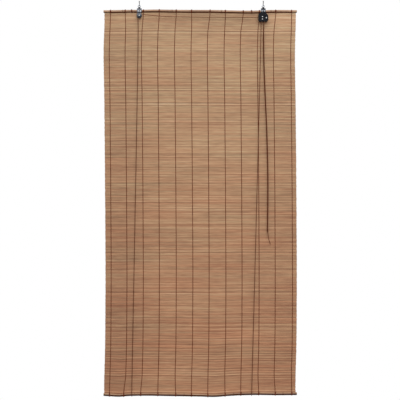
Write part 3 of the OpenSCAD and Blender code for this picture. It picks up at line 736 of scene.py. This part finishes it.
def worn_and_painted_light_finish(name, bands):
    # Plated sheet, rubbed bright in marks where it is handled, with painted highlights and painted shade in
    # bands by height
    material, tree, shader = new_finish(name)
    at = add(tree, "ShaderNodeTexCoord").outputs["Object"]
    height = add(tree, "ShaderNodeSeparateXYZ", {"Vector": at}).outputs["Z"]
    marks = add(tree, "ShaderNodeTexNoise", {
        "Vector": at, "Scale": 1 / RUB_MARK, "Detail": 4.0, "Roughness": 0.6}).outputs["Fac"]
    up = add(tree, "ShaderNodeMapRange", {
        "Value": height, "From Min": HEAD_Z - BAND_REACH, "From Max": HEAD_Z + BAND_REACH}).outputs[0]
    # The bands by height are painted highlights and painted shade
    tone = add(tree, "ShaderNodeValToRGB", {"Fac": up}, bands)
    rubbed = add(tree, "ShaderNodeValToRGB", {"Fac": marks}, [(0.3, "#C4C4C6"), (0.7, "#FFFFFF")])
    both = add(tree, "ShaderNodeMix", {
        MIX_FACTOR: 1.0, MIX_A: tone.outputs["Color"], MIX_B: rubbed.outputs["Color"]},
        data_type="RGBA", blend_type="MULTIPLY")
    rough = add(tree, "ShaderNodeMapRange", {
        "Value": marks, "From Min": 0.3, "From Max": 0.7, "To Min": 0.22, "To Max": 0.38})
    wire(tree, shader, {"Base Color": both.outputs[MIX_RESULT], "Roughness": rough.outputs[0],
                        "Metallic": 1.0})
    return material


PEBBLE = 0.4 * MM


def nylon_finish():
    # Moulded black nylon: matt, with a faint pebble from the mould
    material, tree, shader = new_finish("moulded_nylon")
    at = add(tree, "ShaderNodeTexCoord").outputs["Object"]
    pebble = add(tree, "ShaderNodeTexNoise", {
        "Vector": at, "Scale": 1 / PEBBLE, "Detail": 2.0}).outputs["Fac"]
    tone = add(tree, "ShaderNodeValToRGB", {"Fac": pebble}, [(0.3, "#17181A"), (0.7, "#26282B")])
    bump = add(tree, "ShaderNodeBump", {"Height": pebble, "Strength": 0.2, "Distance": 0.05 * MM})
    wire(tree, shader, {"Base Color": tone.outputs["Color"], "Normal": bump.outputs[0], "Roughness": 0.5})
    return material


HARDWARE = (
    # Drawn wire under dark zinc: nearly black, with a soft sheen
    (metal_finish("dark_zinc_wire", "#18191B", "#333538", 0.3, 0.45, 3 * MM), ("left_hook", "right_hook")),
    # Folded strip under nickel: bright at the eye, with painted highlights on the saddle and painted shade
    # in the fold above the cane
    (worn_and_painted_light_finish("nickel_plated_strip_left", LEFT_BANDS), ("left_hanger",)),
    (worn_and_painted_light_finish("nickel_plated_strip_right", RIGHT_BANDS), ("right_hanger",)),
    # New zinc on the screws: the brightest metal here
    (metal_finish("bright_zinc_screw", "#F0F0EE", "#FFFFFF", 0.16, 0.26, 2 * MM),
     ("left_hanger_screws", "right_hanger_screws")),
    # Rivet heads polished by their forming: small sharp lights
    (metal_finish("polished_rivet_steel", "#B0B0AE", "#D2D2D0", 0.12, 0.24, 2 * MM),
     ("left_axle", "lock_axle", "lock_spacer_rivet", "lock_cam_pivot")),
    # Sleeves as they come off the lathe: grey and even
    (metal_finish("turned_steel", "#7C7E81", "#A0A2A5", 0.28, 0.4, 2 * MM), ("left_spacer", "lock_spacer")),
    # Darkened sheet with a satin face, painted light and shade by height: grey in the middle, darker at its
    # top and its foot
    (worn_and_painted_light_finish("satin_gunmetal", CHEEK_BANDS), ("left_cheek", "left_spacer_rivet")),
    # Black nickel on the lock's plate: black, with wide dull reflections
    (metal_finish("black_nickel", "#111214", "#1E1F22", 0.32, 0.46, 4 * MM), ("lock_plate",)),
    # Zinc as it is cast: mid grey and dull
    (metal_finish("zinc_cast_cam", "#6A6C70", "#8C8E92", 0.38, 0.52, 2 * MM), ("lock_cam",)),
    (nylon_finish(), ("left_wheel", "lock_wheel")),
)
for finish, names in HARDWARE:
    for name in names:
        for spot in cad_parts[name].material_slots:
            spot.material = finish

FLOOR_Z, FLOOR_REACH = -2.9, 5


def pale_floor():
    # Painted floor: matt and nearly white
    material, tree, shader = new_finish("pale_floor")
    wire(tree, shader, {"Base Color": linear("#E9E8E6"), "Roughness": 0.8})
    bm = bmesh.new()
    bmesh.ops.create_grid(bm, x_segments=1, y_segments=1, size=FLOOR_REACH,
                          matrix=Matrix.Translation((0, 0, FLOOR_Z)))
    mesh = bpy.data.meshes.new("floor")
    bm.to_mesh(mesh)
    bm.free()
    mesh.materials.append(material)
    floor = bpy.data.objects.new("floor", mesh)
    scene.collection.objects.link(floor)


# The world's light comes from this side, and the lamp is square
SKY_SIDE = (0.1, 0, 1)
LAMP_AT, LAMP_AIM = (0.5, -3.2, 2.2), (0, 0, -0.8)
LAMP_SIDE, LAMP_WATTS = 4.4, 134


def studio_light():
    """White surroundings whose light comes from above, and one large soft lamp high in front."""
    world = bpy.data.worlds.new("studio")
    scene.world = world
    world.use_nodes = True
    tree = world.node_tree
    tree.nodes.clear()
    way = add(tree, "ShaderNodeTexCoord").outputs["Generated"]
    height = add(tree, "ShaderNodeVectorMath", {0: way, 1: SKY_SIDE}, operation="DOT_PRODUCT")
    fill = add(tree, "ShaderNodeMapRange", {
        "Value": height.outputs["Value"], "From Min": -0.3, "From Max": 1.0,
        "To Min": 0.02, "To Max": 0.98})
    soft = add(tree, "ShaderNodeBackground", {"Color": linear("#FFFFFF"), "Strength": fill.outputs[0]})
    white = add(tree, "ShaderNodeBackground", {"Color": linear("#FFFFFF"), "Strength": 1.0})
    rays = add(tree, "ShaderNodeLightPath").outputs
    seen = rays["Is Camera Ray"]
    for kind in ("Is Glossy Ray", "Is Transmission Ray"):
        seen = add(tree, "ShaderNodeMath", {0: seen, 1: rays[kind]}, operation="MAXIMUM").outputs[0]
    both = add(tree, "ShaderNodeMixShader", {0: seen, 1: soft.outputs[0], 2: white.outputs[0]})
    add(tree, "ShaderNodeOutputWorld", {"Surface": both.outputs[0]})

    lamp = bpy.data.lights.new("high_lamp", "AREA")
    lamp.shape, lamp.size, lamp.size_y, lamp.energy = "RECTANGLE", LAMP_SIDE, LAMP_SIDE, LAMP_WATTS
    obj = bpy.data.objects.new("high_lamp", lamp)
    obj.visible_camera = False
    obj.location = LAMP_AT
    obj.rotation_euler = (Vector(LAMP_AIM) - obj.location).to_track_quat("-Z", "Y").to_euler()
    scene.collection.objects.link(obj)


pale_floor()
studio_light()
scene.view_settings.view_transform = "Standard"
